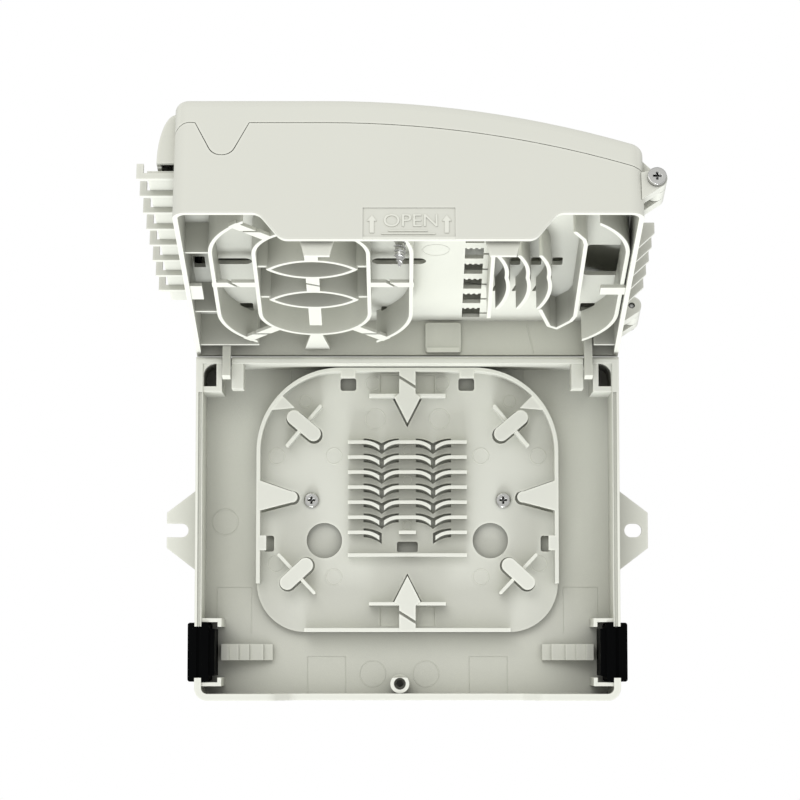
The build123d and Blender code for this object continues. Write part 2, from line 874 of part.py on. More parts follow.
# Cable seals: a grooved block astride each side wall, with a bulge inside
seal_foot = back_wall + seal_sill + seal_gap
seal_top = base_height - seal_top_gap
for side, name in ((-1, "cable_seal_left"), (1, "cable_seal_right")):
    with BuildPart() as cable_seal:
        outer_x = half_width + seal_outer
        inner_x = outer_x - seal_thickness
        with BuildSketch(Plane.XY.offset(seal_foot)):
            with Locations((side * (outer_x + inner_x) / 2, seal_centre_y)):
                Rectangle(seal_thickness, seal_length)
        extrude(amount=seal_top - seal_foot)
        fillet(cable_seal.edges().filter_by(Axis.Z), seal_corner / 2)
        with BuildSketch(Plane.XY.offset(seal_foot)):
            with Locations((side * (inner_x + seal_bulge_bite), seal_centre_y)):
                Rectangle(
                    seal_bulge + seal_bulge_bite,
                    seal_bulge_length,
                    align=(Align.MAX if side > 0 else Align.MIN, Align.CENTER),
                )
        extrude(amount=seal_top - seal_foot - seal_bulge_drop)
        # Slots that take the window's edges
        slot_depth = (seal_length - (seal_length - 2 * seal_groove - seal_frame_margin)) / 2 + seal_gap
        with BuildSketch(Plane.XY.offset(seal_foot)):
            for end in (-1, 1):
                slot_y = seal_centre_y + end * seal_length / 2
                slot_x = side * (half_width - base_wall / 2)
                with Locations((slot_x, slot_y)):
                    Rectangle(base_wall + seal_slot_play, 2 * slot_depth)
        extrude(amount=seal_top - seal_foot, mode=Mode.SUBTRACT)
        # Groove across the top
        with BuildSketch(Plane.XY.offset(seal_top)):
            with Locations((side * (half_width - base_wall / 2), seal_centre_y)):
                Rectangle(seal_groove, seal_length)
        extrude(amount=-seal_top_groove_depth, mode=Mode.SUBTRACT)
    cable_seal.part.label = name
    export_step(cable_seal.part, "parts/" + name + ".step")

# Swing panel
floor_top = floor_level + floor_thickness
port_places = [(n - (port_count - 1) / 2) * port_pitch for n in range(port_count)]
bound_places = [(n - port_count / 2) * port_pitch for n in range(port_count + 1)]
lid_axis_x = half_width + lid_axis_out
stations = (half_length - lid_station_near, half_length - lid_station_far)


def seam_face(lift, low, edge, corner):
    """Front view of everything above the seam, which follows the dome."""
    corner_level = lid_top - skirt_height + lift - corner
    seam = lid_top - skirt_height + lift
    right = half_width + edge
    with BuildSketch(mode=Mode.PRIVATE) as shape:
        with BuildLine():
            drop = dome_drop(right)
            middle = (lid_curve_start + right) / 2
            Polyline(
                (right, seam - drop),
                (right, low),
                (-half_width - edge, low),
                (-half_width - edge, corner_level),
                (-half_width, corner_level),
            )
            bend_end = (-half_width + seam_corner_width, seam)
            if corner:
                bend_x = -half_width + seam_bend_side * seam_corner_width
                bend = (bend_x, seam - seam_bend_drop * corner)
                ThreePointArc((-half_width, corner_level), bend, bend_end)
            else:
                Line((-half_width, corner_level), bend_end)
            Line(bend_end, (lid_curve_start, seam))
            ThreePointArc(
                (lid_curve_start, seam),
                (middle, seam - dome_drop(middle)),
                (right, seam - drop),
            )
        make_face()
    return shape.sketch


def tab_face(gap):
    """Front view of the lid's thumb tab, grown by a gap."""
    seam = lid_top - skirt_height
    middle = (tab_left + tab_right) / 2
    with BuildSketch(mode=Mode.PRIVATE) as shape:
        with BuildLine():
            Polyline(
                (tab_left - gap, seam + 1),
                (middle - tab_flat - gap, tab_bottom - gap),
                (middle + tab_flat + gap, tab_bottom - gap),
                (tab_right + gap, seam + 1),
                close=True,
            )
        make_face()
        fillet(shape.vertices().group_by(Axis.Y)[0], tab_round)
    return shape.sketch


def racetrack(centre, radius):
    """Oval with half-round ends along the panel."""
    with BuildSketch(mode=Mode.PRIVATE) as shape:
        with Locations((centre, 0)):
            SlotOverall(2 * (drum_half + radius), 2 * radius, rotation=90)
    return shape.sketch


def fin_shape(x):
    """S-curved guide fin made of two arcs."""
    with BuildSketch(mode=Mode.PRIVATE) as shape:
        far = (x - fin_far_lean, fin_far_y)
        middle = (x + fin_middle_lean, fin_middle_y)
        near = (x - fin_near_lean, fin_near_y)
        SlotArc(RadiusArc(far, middle, fin_far_radius), guide_wall)
        SlotArc(RadiusArc(middle, near, fin_near_radius), guide_wall)
    return shape.sketch


wall_height = floor_level - edge_level
with BuildPart() as swing_panel:
    # Outer walls below the seam, down to the lip
    with BuildSketch(swing.offset(-lip_drop)):
        add(outline(0))
    extrude(amount=lip_drop + lid_top)
    with BuildSketch(front_view(swing, half_length + 1)):
        add(seam_face(-seam_gap, lid_top + 20, 30, seam_corner_drop))
    extrude(amount=box_length + 2, mode=Mode.SUBTRACT)
    with BuildSketch(swing.offset(floor_top)):
        add(outline(shell_wall))
    extrude(amount=lid_top, mode=Mode.SUBTRACT)
    with BuildSketch(swing.offset(-lip_drop)):
        add(outline(shell_wall))
    extrude(amount=lip_drop + floor_level, mode=Mode.SUBTRACT)
    # Below the rim plane only the near lip stays
    with BuildSketch(swing.offset(-lip_drop)):
        Rectangle(box_width + 2, box_length + 2)
    extrude(amount=lip_drop, mode=Mode.SUBTRACT)
    with BuildSketch(front_view(swing, -half_length + shell_wall)):
        add(lip_profile(-lip_drop, 0))
    extrude(amount=shell_wall)
    # Recess round the thumb tab
    with BuildSketch(front_view(swing, -half_length + shell_wall + 1)):
        add(tab_face(seam_gap))
    extrude(amount=shell_wall + 2, mode=Mode.SUBTRACT)
    # Coil drum with two lens-shaped cores
    with BuildSketch(swing.offset(edge_level)):
        add(racetrack(drum_x, drum_radius))
        add(racetrack(drum_x, drum_radius - guide_wall), mode=Mode.SUBTRACT)
    extrude(amount=wall_height)
    lens_radius = (lens_half_length**2 + lens_depth**2) / (2 * lens_depth)
    for lens_y in (-lens_offset, lens_offset):
        with BuildSketch(swing.offset(edge_level)):
            for ring, mode in ((0, Mode.ADD), (guide_wall, Mode.SUBTRACT)):
                with BuildSketch(mode=Mode.PRIVATE) as lens:
                    with Locations((drum_x, lens_y + lens_depth - lens_radius)):
                        Circle(lens_radius - ring)
                    with Locations((drum_x, lens_y - lens_depth + lens_radius)):
                        Circle(lens_radius - ring, mode=Mode.INTERSECT)
                add(lens.sketch, mode=mode)
        extrude(amount=wall_height)
    # Short webs from the cores to the drum
    with BuildSketch(swing.offset(edge_level + lens_brace_drop)):
        for lens_y in (-lens_offset, lens_offset):
            for side in (-1, 1):
                brace_x = side * (drum_radius + lens_half_length - lens_brace_bite) / 2
                with Locations((drum_x + brace_x, lens_y)):
                    Rectangle(drum_radius - lens_half_length + lens_brace_bite, guide_wall)
    extrude(amount=wall_height - lens_brace_drop)
    # Outer guide loop round the drum, open at its far and near ends
    with BuildSketch(swing.offset(edge_level)):
        add(racetrack(drum_x, loop_radius))
        add(racetrack(drum_x, loop_radius - guide_wall), mode=Mode.SUBTRACT)
        with Locations((drum_x, 0)):
            Rectangle(2 * loop_opening, box_length, mode=Mode.SUBTRACT)
        add(outline(shell_wall), mode=Mode.INTERSECT)
    extrude(amount=wall_height)
    # Right guide arcs by the large window
    with BuildSketch(swing.offset(edge_level)):
        add(racetrack(right_loop_x, loop_radius))
        add(racetrack(right_loop_x, loop_radius - guide_wall), mode=Mode.SUBTRACT)
        with Locations((right_loop_clear, 0)):
            Rectangle(box_width, 2 * box_length, align=(Align.MAX, Align.CENTER), mode=Mode.SUBTRACT)
        add(outline(shell_wall), mode=Mode.INTERSECT)
    extrude(amount=wall_height)
    # Ribs from the loop to the left wall
    with BuildSketch(swing.offset(edge_level + 1)):
        for end in (-1, 1):
            with Locations((-half_width + shell_wall / 2, end * drum_half)):
                Rectangle(
                    drum_brace_reach, drum_brace_thickness, align=(Align.MIN, Align.CENTER)
                )
    extrude(amount=wall_height - 1)
    # Cross walls that hide the arms, and a pad on the hinge wall
    with BuildSketch(swing.offset(edge_level)):
        for near_x, far_x in (
            (cross_wall_left_end, -half_width + shell_wall / 2),
            (cross_wall_right_end, half_width - shell_wall / 2),
        ):
            with Locations(((near_x + far_x) / 2, cross_wall_y)):
                Rectangle(abs(far_x - near_x), cross_wall_thickness)
    extrude(amount=wall_height)
    with BuildSketch(front_view(swing, half_length - shell_wall + pad_bite)):
        with Locations((pad_x, pad_level)):
            RectangleRounded(pad_width, pad_height, pad_corner)
    extrude(amount=pad_thickness)
    # Split bridge tabs over the fibre channel
    with BuildSketch(swing.offset(edge_level)):
        for side in (-1, 1):
            bridge_x = drum_x + side * (drum_radius + loop_radius) / 2
            with Locations((bridge_x, 0)):
                Rectangle(loop_radius - drum_radius + bridge_bite, bridge_width)
                Rectangle(
                    bridge_slit, 2 * bridge_width, rotation=bridge_slit_turn, mode=Mode.SUBTRACT
                )
            for end in (-1, 1):
                middle = (drum_radius + loop_radius) / 2
                spot = (
                    drum_x + side * middle * bridge_side_share,
                    end * (drum_half + middle * bridge_end_share),
                )
                with Locations(spot):
                    Rectangle(
                        loop_radius - drum_radius + 1,
                        bridge_width,
                        rotation=side * end * bridge_turn,
                    )
                    Rectangle(
                        bridge_slit,
                        bridge_slit_length,
                        rotation=side * end * 90,
                        mode=Mode.SUBTRACT,
                    )
        with Locations((drum_x, 0)):
            Rectangle(lens_bar_width, 2 * lens_offset - lens_bar_bite)
            Rectangle(
                lens_slit_length, bridge_slit, rotation=lens_slit_turn, mode=Mode.SUBTRACT
            )
        with Locations((drum_x, lens_offset + lens_depth - guide_wall)):
            Rectangle(
                far_bar_width, far_bar_length + guide_wall, align=(Align.CENTER, Align.MIN)
            )
        with Locations((drum_x, -lens_offset - lens_depth + guide_wall)):
            Rectangle(
                lens_bar_width, near_bar_length + guide_wall, align=(Align.CENTER, Align.MAX)
            )
        with BuildLine():
            Polyline(
                (drum_x - brace_root_half, drum_half + drum_radius - guide_wall),
                (drum_x + brace_root_half, drum_half + drum_radius - guide_wall),
                (drum_x + brace_foot_half, half_length - brace_wall_gap),
                (drum_x - brace_foot_half, half_length - brace_wall_gap),
                close=True,
            )
        make_face()
    extrude(amount=bridge_thickness)
    # Tabs on the side walls
    with BuildSketch(swing.offset(edge_level - side_tab_drop)):
        with Locations((-half_width + shell_wall / 2, left_tab_y)):
            Rectangle(left_tab_reach, left_tab_length, align=(Align.MIN, Align.CENTER))
        with Locations((half_width - shell_wall / 2, right_tab_y)):
            Rectangle(right_tab_reach, right_tab_length, align=(Align.MAX, Align.CENTER))
    extrude(amount=bridge_thickness)
    # Fins that sort the pigtails, and the wall beside them
    with BuildSketch(swing.offset(edge_level)):
        with Locations((fin_wall_x, fin_wall_y)):
            Rectangle(guide_wall, fin_wall_length)
    extrude(amount=wall_height)
    with BuildSketch(swing.offset(edge_level)):
        for fin_x in fin_places:
            add(fin_shape(fin_x))
    extrude(amount=wall_height)
    # Sloped wall between the fins and the large window
    with BuildSketch(swing.offset(edge_level)):
        for start, end in zip(slope_points[:-1], slope_points[1:]):
            SlotCenterPoint(
                ((start[0] + end[0]) / 2, (start[1] + end[1]) / 2), end, guide_wall
            )
    extrude(amount=wall_height)
    # Openings in the floor
    with BuildSketch(swing.offset(floor_level - 1)):
        with Locations((left_slot_x, floor_slot_y)):
            SlotOverall(left_slot_length, floor_slot_width)
        with Locations((drum_slot_x, floor_slot_y)):
            SlotOverall(drum_slot_length, floor_slot_width)
        with Locations((edge_window_x, edge_window_y)):
            Rectangle(edge_window_width, edge_window_length)
        with Locations([(place, fin_window_y) for place in fin_window_places]):
            RectangleRounded(fin_window_width, fin_window_length, fin_window_round)
        with Locations((large_window_x, large_window_y)):
            RectangleRounded(large_window_width, large_window_length, large_window_round)
        for bound in bound_places:
            with Locations((adapter_x, bound)):
                Rectangle(adapter_window_width, adapter_window_length)
            with Locations((adapter_x + adapter_notch_x, bound + adapter_notch_y)):
                Rectangle(adapter_notch_length, adapter_notch_width)
        for slit_x in fin_slit_places:
            slit_middle = (slit_x - fin_slit_near_lean, fin_slit_near)
            slit_end = (slit_x - fin_slit_far_lean, fin_slit_far)
            SlotCenterPoint(slit_middle, slit_end, guide_wall)
        for spot in (arm_window_left, arm_window_middle, arm_window_right):
            with Locations(spot):
                RectangleRounded(arm_window_width, arm_window_length, arm_window_round)
    extrude(amount=floor_thickness + 2, mode=Mode.SUBTRACT)
    # Drop-port comb on the left: a slotted shelf on L-shaped fins
    with BuildSketch(swing.offset(fin_level + fin_height)):
        with Locations((-half_width + shell_wall / 2, bound_places[0])):
            Rectangle(
                shelf_reach + shell_wall / 2,
                port_count * port_pitch,
                align=(Align.MAX, Align.MIN),
            )
        for bound in bound_places[:-1]:
            slot_y = bound + fin_thickness / 2 + shelf_slot_gap
            with Locations((-half_width - shelf_reach / 2, slot_y)):
                Rectangle(shelf_reach - shelf_slot_inset, shelf_slot_width, mode=Mode.SUBTRACT)
    extrude(amount=shelf_thickness)
    for bound in bound_places[:-1]:
        with BuildSketch(front_view(swing, bound + fin_thickness / 2)):
            with Locations((-half_width + shell_wall / 2, fin_level)):
                Rectangle(fin_reach + shell_wall / 2, fin_height, align=(Align.MAX, Align.MIN))
            with Locations((-half_width - fin_reach, fin_level)):
                Rectangle(
                    fin_post, fin_height + fin_post_height, align=(Align.MIN, Align.MIN)
                )
        extrude(amount=fin_thickness)
    # Ports through the left wall
    with BuildSketch(side_view(swing, -half_width - 1)):
        for port in port_places:
            with Locations((port, port_level)):
                SlotOverall(port_height, port_width, rotation=90)
    extrude(amount=shell_wall + 2, mode=Mode.SUBTRACT)
    # Cradle ribs on both sides of the windows, notched for the adapters
    with BuildSketch(swing.offset(floor_top)):
        for side in (-1, 1):
            with Locations((adapter_x + side * cradle_offset, 0)):
                Rectangle(cradle_wall, (port_count - 1) * port_pitch + adapter_flange_width + 4)
    extrude(amount=cradle_height)
    with BuildSketch(side_view(swing, adapter_x - adapter_length / 2)):
        for port in port_places:
            with Locations((port, floor_top + adapter_step)):
                Rectangle(
                    adapter_width + 2 * cradle_gap,
                    adapter_height,
                    align=(Align.CENTER, Align.MIN),
                )
    extrude(amount=adapter_length, mode=Mode.SUBTRACT)
    # Tube that guides the cover screw
    with BuildSketch(swing.offset(-cover_tube_drop)):
        with Locations((boss_x, boss_y)):
            Circle(screw_tube_radius)
            Circle(cover_screw_radius + cover_screw_clearance, mode=Mode.SUBTRACT)
    extrude(amount=floor_top + cover_tube_drop)
    with BuildSketch(swing.offset(floor_level - 1)):
        with Locations((boss_x, boss_y)):
            Circle(cover_screw_radius + cover_screw_clearance)
    extrude(amount=floor_thickness + 2, mode=Mode.SUBTRACT)
    # Snap tongues behind the lip
    for tongue_x, wide, slim in (
        (snap_tongue_left, snap_tongue_left_root, snap_tongue_left_tip),
        (snap_tongue_right, snap_tongue_right_root, snap_tongue_right_tip),
    ):
        tongue_y = -half_length + shell_wall + snap_tongue_gap + fit_gap
        with BuildSketch(front_view(swing, tongue_y)):
            with BuildLine():
                Polyline(
                    (tongue_x - wide / 2, snap_tongue_start),
                    (tongue_x - slim / 2, -lip_drop - snap_tongue_drop),
                    (tongue_x + slim / 2, -lip_drop - snap_tongue_drop),
                    (tongue_x + wide / 2, snap_tongue_start),
                    close=True,
                )
            make_face()
        extrude(amount=snap_tongue_thickness)
        with BuildSketch(front_view(swing, tongue_y)):
            with Locations((tongue_x, snap_tongue_start)):
                Rectangle(wide, snap_tongue_foot, align=(Align.CENTER, Align.MIN))
        extrude(amount=snap_tongue_gap + fit_gap + shell_wall / 2)
    # Hinge arms with pin stubs
    for side in (-1, 1):
        arm_x = side * arm_offset - arm_thickness / 2
        arm_outer = half_length - base_wall - fit_gap
        with BuildSketch(side_view(swing, arm_x)):
            with BuildLine():
                Polyline(
                    (half_length - shell_wall / 2, arm_reach),
                    (half_length - shell_wall / 2, arm_root_level),
                    (arm_outer, -arm_root_level),
                    (arm_outer, -arm_tail),
                    (arm_outer - arm_width, -arm_tail),
                    (arm_outer - arm_width, arm_reach),
                    close=True,
                )
            make_face()
            with Locations((hinge_y, -hinge_drop - rim_gap)):
                Circle(hinge_pin_radius + arm_eye_wall)
        extrude(amount=arm_thickness)
        stub = arm_thickness / 2 + arm_side_gap + stub_reach
        with BuildSketch(side_view(swing, side * arm_offset - stub)):
            with Locations((hinge_y, -hinge_drop - rim_gap)):
                Circle(hinge_pin_radius)
        extrude(amount=2 * stub)
    # Bosses for the lid's pivot screws
    for number, station in enumerate(stations):
        end = 1 if number == 0 else -1
        for step in (-1, 1):
            middle = station + step * (lid_knuckle_length / 2 + lid_knuckle_gap + lid_boss_length / 2)
            with BuildSketch(front_view(swing, middle + lid_boss_length / 2)):
                with Locations((lid_axis_x, lid_axis_level)):
                    Circle(lid_boss_radius)
                with BuildLine():
                    Polyline(
                        (half_width - shell_wall / 2, lid_axis_level - 10.0),
                        (lid_axis_x + 3.4, lid_axis_level - 3.0),
                        (lid_axis_x - 2.0, lid_axis_level + 3.6),
                        (half_width - shell_wall / 2, lid_axis_level + 2.6),
                        close=True,
                    )
                make_face()
                with Locations((lid_axis_x, lid_axis_level)):
                    Circle(pivot_screw_radius + pivot_clearance, mode=Mode.SUBTRACT)
            extrude(amount=lid_boss_length)
    # Raised ribs along the right wall
    for rib in range(5):
        rib_y = side_rib_first - rib * side_rib_step
        with BuildSketch(front_view(swing, rib_y)):
            with BuildLine():
                Polyline(
                    (half_width - shell_wall / 2, side_rib_foot),
                    (half_width + side_rib_reach, lid_axis_level - side_rib_slope),
                    (half_width + side_rib_reach, lid_axis_level + side_rib_top),
                    (half_width - shell_wall / 2, lid_axis_level + side_rib_top),
                    close=True,
                )
            make_face()
        extrude(amount=side_rib_thickness)
    # Shallow label panel in the near wall
    with BuildSketch(front_view(swing, -half_length + label_depth)):
        with Locations((label_x, -lip_drop)):
            Rectangle(label_width, label_height + label_overlap, align=(Align.CENTER, Align.MIN))
    extrude(amount=label_depth + 1, mode=Mode.SUBTRACT)
swing_panel.part.label = "swing_panel"
export_step(swing_panel.part, "parts/swing_panel.step")

# Lid
with BuildPart() as front_lid:
    with BuildSketch(swing):
        add(outline(0))
    extrude(amount=lid_top)
    with BuildSketch(front_view(swing, half_length + 1)):
        add(seam_face(skirt_height, lid_top + 20, 30, 0))
    extrude(amount=box_length + 2, mode=Mode.SUBTRACT)
    roof_edges = []
    for roof_face in front_lid.faces():
        if roof_face.normal_at().dot(swing.z_dir) > 0.8:
            roof_edges += roof_face.edges()
    curve_start = swing.origin.X + lid_curve_start
    fillet([e for e in roof_edges if abs(e.center().X - curve_start) > 1], lid_edge_round)
    with BuildSketch(front_view(swing, half_length + 1)):
        add(seam_face(0, -20, 30, seam_corner_drop))
    extrude(amount=box_length + 2, mode=Mode.SUBTRACT)
    with BuildSketch(front_view(swing, half_length - shell_wall)):
        with BuildLine():
            inner = half_width - shell_wall
            roof = lid_top - shell_wall
            middle = (lid_curve_start + inner) / 2
            Polyline(
                (inner, roof - dome_drop(inner)),
                (inner, -20),
                (-inner, -20),
                (-inner, roof),
                (lid_curve_start, roof),
            )
            ThreePointArc(
                (lid_curve_start, roof),
                (middle, roof - dome_drop(middle)),
                (inner, roof - dome_drop(inner)),
            )
        make_face()
    extrude(amount=box_length - 2 * shell_wall, mode=Mode.SUBTRACT)
    # Thumb tab
    with BuildSketch(front_view(swing, -half_length + shell_wall)):
        add(tab_face(0))
    extrude(amount=shell_wall)
    # Hood over the drop ports, a quarter-round shell closed at both ends
    hood_rise = hood_top - hood_bottom
    left_seam = lid_top - skirt_height - seam_corner_drop
    with BuildSketch(front_view(swing, hood_half)):
        with Locations((-half_width, hood_bottom)):
            Ellipse(hood_reach, hood_rise)
            Rectangle(
                hood_reach + shell_wall / 2,
                hood_rise,
                align=(Align.MAX, Align.MIN),
                mode=Mode.INTERSECT,
            )
        with Locations((-half_width, hood_top)):
            Rectangle(shell_wall / 2, hood_top - left_seam - hood_strip_gap, align=(Align.MIN, Align.MAX))
    extrude(amount=2 * hood_half)
    with BuildSketch(front_view(swing, hood_half - hood_wall)):
        with Locations((-half_width, hood_bottom)):
            Ellipse(hood_reach - hood_wall, hood_rise - 2 * hood_wall)
            Rectangle(
                hood_reach,
                2 * hood_rise,
                align=(Align.MAX, Align.CENTER),
                mode=Mode.INTERSECT,
            )
    extrude(amount=2 * (hood_half - hood_wall), mode=Mode.SUBTRACT)
    # Knuckles on the pivot axis
    for station in stations:
        with BuildSketch(front_view(swing, station + lid_knuckle_length / 2)):
            with Locations((lid_axis_x, lid_axis_level)):
                Circle(lid_boss_radius)
            with BuildLine():
                Polyline(
                    (half_width - shell_wall / 2, lid_axis_level + 5.2),
                    (half_width + 0.4, lid_axis_level + 5.2),
                    (lid_axis_x - 3.6, lid_axis_level + 2.4),
                    (lid_axis_x + 4.2, lid_axis_level + 1.0),
                    (half_width - shell_wall / 2, lid_axis_level + 12.0),
                    close=True,
                )
            make_face()
            with Locations((lid_axis_x, lid_axis_level)):
                Circle(pivot_screw_radius + pivot_clearance, mode=Mode.SUBTRACT)
        extrude(amount=lid_knuckle_length)
front_lid.part.label = "front_lid"
export_step(front_lid.part, "parts/front_lid.step")

# Pivot screws of the lid, one at each end
with BuildPart() as lid_pivot_screws:
    stack = lid_knuckle_length + 2 * (lid_knuckle_gap + lid_boss_length)
    for number, station in enumerate(stations):
        outward = 1 if number == 0 else -1
        face_y = station + outward * stack / 2
        start = front_view(swing, face_y)
        direction = 1 if outward > 0 else -1
        with BuildSketch(start):
            with Locations((lid_axis_x, lid_axis_level)):
                Circle(pivot_screw_radius)
        extrude(amount=direction * (stack - 1.0))
        with BuildSketch(start):
            with Locations((lid_axis_x, lid_axis_level)):
                Circle(pivot_head_radius)
        extrude(amount=-direction * pivot_head_height)
        head_face = front_view(swing, face_y + outward * pivot_head_height)
        with BuildSketch(head_face):
            with Locations((lid_axis_x, lid_axis_level)):
                add(drive_face())
        extrude(amount=direction * drive_depth, mode=Mode.SUBTRACT)
lid_pivot_screws.part.label = "lid_pivot_screws"
export_step(lid_pivot_screws.part, "parts/lid_pivot_screws.step")

# Captive cover screw and its washer
with BuildPart() as cover_screw:
    with BuildSketch(swing.offset(floor_top)):
        with Locations((boss_x, boss_y)):
            Circle(cover_screw_head)
    extrude(amount=cover_screw_head_height)
    with BuildSketch(swing.offset(floor_top)):
        with Locations((boss_x, boss_y)):
            Circle(cover_screw_radius)
    extrude(amount=-floor_top - cover_screw_tip + cover_screw_cone)
    with BuildSketch(swing.offset(-cover_screw_tip + cover_screw_cone)):
        with Locations((boss_x, boss_y)):
            Circle(cover_screw_radius)
    with BuildSketch(swing.offset(-cover_screw_tip)):
        with Locations((boss_x, boss_y)):
            Circle(tip_radius)
    loft()
    with BuildSketch(swing.offset(floor_top + cover_screw_head_height)):
        with Locations((boss_x, boss_y)):
            add(drive_face())
    extrude(amount=-drive_depth, mode=Mode.SUBTRACT)
cover_screw.part.label = "cover_screw"
export_step(cover_screw.part, "parts/cover_screw.step")

with BuildPart() as cover_screw_washer:
    with BuildSketch(swing.offset(-washer_place)):
        with Locations((boss_x, boss_y)):
            Circle(washer_radius)
            Circle(cover_screw_radius, mode=Mode.SUBTRACT)
    extrude(amount=-washer_thickness)
cover_screw_washer.part.label = "cover_screw_washer"
export_step(cover_screw_washer.part, "parts/cover_screw_washer.step")

# A grommet for each port
for number, port in enumerate(port_places):
    label = str(number + 1)
    with BuildPart() as grommet:
        with BuildSketch(side_view(swing, -half_width)):
            with Locations((port, port_level)):
                SlotOverall(port_height - grommet_play, port_width - grommet_play, rotation=90)
        extrude(amount=shell_wall)
        with BuildSketch(side_view(swing, -half_width + shell_wall)):
            with Locations((port, port_level)):
                SlotOverall(
                    port_height + grommet_flange_height,
                    port_width + grommet_flange_width,
                    rotation=90,
                )
        extrude(amount=grommet_flange_thickness)
    grommet.part.label = "port_grommet_" + label
    export_step(grommet.part, "parts/port_grommet_" + label + ".step")
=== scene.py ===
import json
import math

import bmesh
import bpy
from mathutils import Matrix, Vector


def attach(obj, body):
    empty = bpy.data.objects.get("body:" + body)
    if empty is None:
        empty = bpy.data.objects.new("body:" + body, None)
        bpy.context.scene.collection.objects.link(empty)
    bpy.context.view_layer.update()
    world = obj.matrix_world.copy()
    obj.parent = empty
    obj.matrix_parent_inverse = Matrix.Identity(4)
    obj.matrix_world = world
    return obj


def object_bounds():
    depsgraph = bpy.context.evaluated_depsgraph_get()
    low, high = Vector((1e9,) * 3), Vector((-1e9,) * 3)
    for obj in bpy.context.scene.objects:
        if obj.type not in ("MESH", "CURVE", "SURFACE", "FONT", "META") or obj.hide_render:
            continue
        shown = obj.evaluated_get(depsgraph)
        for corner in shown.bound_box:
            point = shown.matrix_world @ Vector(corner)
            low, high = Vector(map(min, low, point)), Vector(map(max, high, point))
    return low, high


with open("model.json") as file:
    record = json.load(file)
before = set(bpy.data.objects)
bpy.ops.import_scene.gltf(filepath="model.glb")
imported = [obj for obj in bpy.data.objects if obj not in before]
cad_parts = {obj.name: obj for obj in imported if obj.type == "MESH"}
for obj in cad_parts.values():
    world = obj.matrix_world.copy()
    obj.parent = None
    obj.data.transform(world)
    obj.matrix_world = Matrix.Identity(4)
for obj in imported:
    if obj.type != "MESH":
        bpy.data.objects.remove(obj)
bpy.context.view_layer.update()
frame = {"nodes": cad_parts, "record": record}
nodes = frame["nodes"]


def corners():
    low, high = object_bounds()
    return [list(low), list(high)]


MM = 0.001

# Turn of the open swing panel about its hinge, in millimetres and radians
TURN = math.radians(106.0)
HINGE_Y = 78.8
HINGE_Z = 28.8
RIM_SHIFT = 3.6


def swing(x, y, w):
    """Point in the swing panel's own directions, in millimetres, as metres in the row frame."""
    dy = y - HINGE_Y
    dz = w + RIM_SHIFT
    return Vector(
        (
            x,
            HINGE_Y + dy * math.cos(TURN) + dz * math.sin(TURN),
            HINGE_Z - dy * math.sin(TURN) + dz * math.cos(TURN),
        )
    ) * MM


# Materials
# Painted shade in the plastic's hollows and a painted highlight on its thin edges, both driven by
# ambient occlusion
PAINTED_SHADE_REACH = 26.0
PAINTED_SHADE_SPAN = (0.15, 0.85)
PAINTED_HIGHLIGHT_REACH = 1.3
PAINTED_HIGHLIGHT_SPAN = (0.35, 0.95)
MOTTLE_SCALE = 18.0
GRAIN_SCALE = 2600.0
GRAIN_STRENGTH = 0.02
GRAIN_HEIGHT = 0.2
# Painted shade in the screw's recesses, driven by ambient occlusion
PAINTED_RECESS_SHADE_REACH = 1.6
PAINTED_RECESS_SHADE_SPAN = (0.55, 0.95)
PAINTED_RECESS_SHADE_LOW = 0.02
METAL_EDGE = 0.7
PLASTIC_SAMPLES = 6
METAL_SAMPLES = 8


def new_material(name, rough):
    m = bpy.data.materials.new(name)
    m.use_nodes = True
    tree = m.node_tree
    shader = tree.nodes["Principled BSDF"]
    shader.inputs["Roughness"].default_value = rough
    return m, tree, shader


def noise(tree, coord, scale):
    node = tree.nodes.new("ShaderNodeTexNoise")
    node.inputs["Scale"].default_value = scale
    tree.links.new(coord.outputs["Object"], node.inputs["Vector"])
    return node.outputs["Fac"]


def occlusion(tree, reach, samples, inside=False):
    node = tree.nodes.new("ShaderNodeAmbientOcclusion")
    node.inside = inside
    node.samples = samples
    node.inputs["Distance"].default_value = reach * MM
    return node.outputs["AO"]


def mapped(tree, value, span, low, high):
    node = tree.nodes.new("ShaderNodeMapRange")
    node.inputs["From Min"].default_value = span[0]
    node.inputs["From Max"].default_value = span[1]
    node.inputs["To Min"].default_value = low
    node.inputs["To Max"].default_value = high
    tree.links.new(value, node.inputs["Value"])
    return node.outputs["Result"]


def joined(tree, operation, one, two):
    node = tree.nodes.new("ShaderNodeMath")
    node.operation = operation
    tree.links.new(one, node.inputs[0])
    tree.links.new(two, node.inputs[1])
    return node.outputs["Value"]


def tinted(tree, colour, factor):
    node = tree.nodes.new("ShaderNodeVectorMath")
    node.operation = "SCALE"
    node.inputs[0].default_value = colour
    tree.links.new(factor, node.inputs["Scale"])
    return node.outputs["Vector"]


def rounded_edges(tree, radius):
    node = tree.nodes.new("ShaderNodeBevel")
    node.inputs["Radius"].default_value = radius * MM
    node.samples = PLASTIC_SAMPLES
    return node.outputs["Normal"]


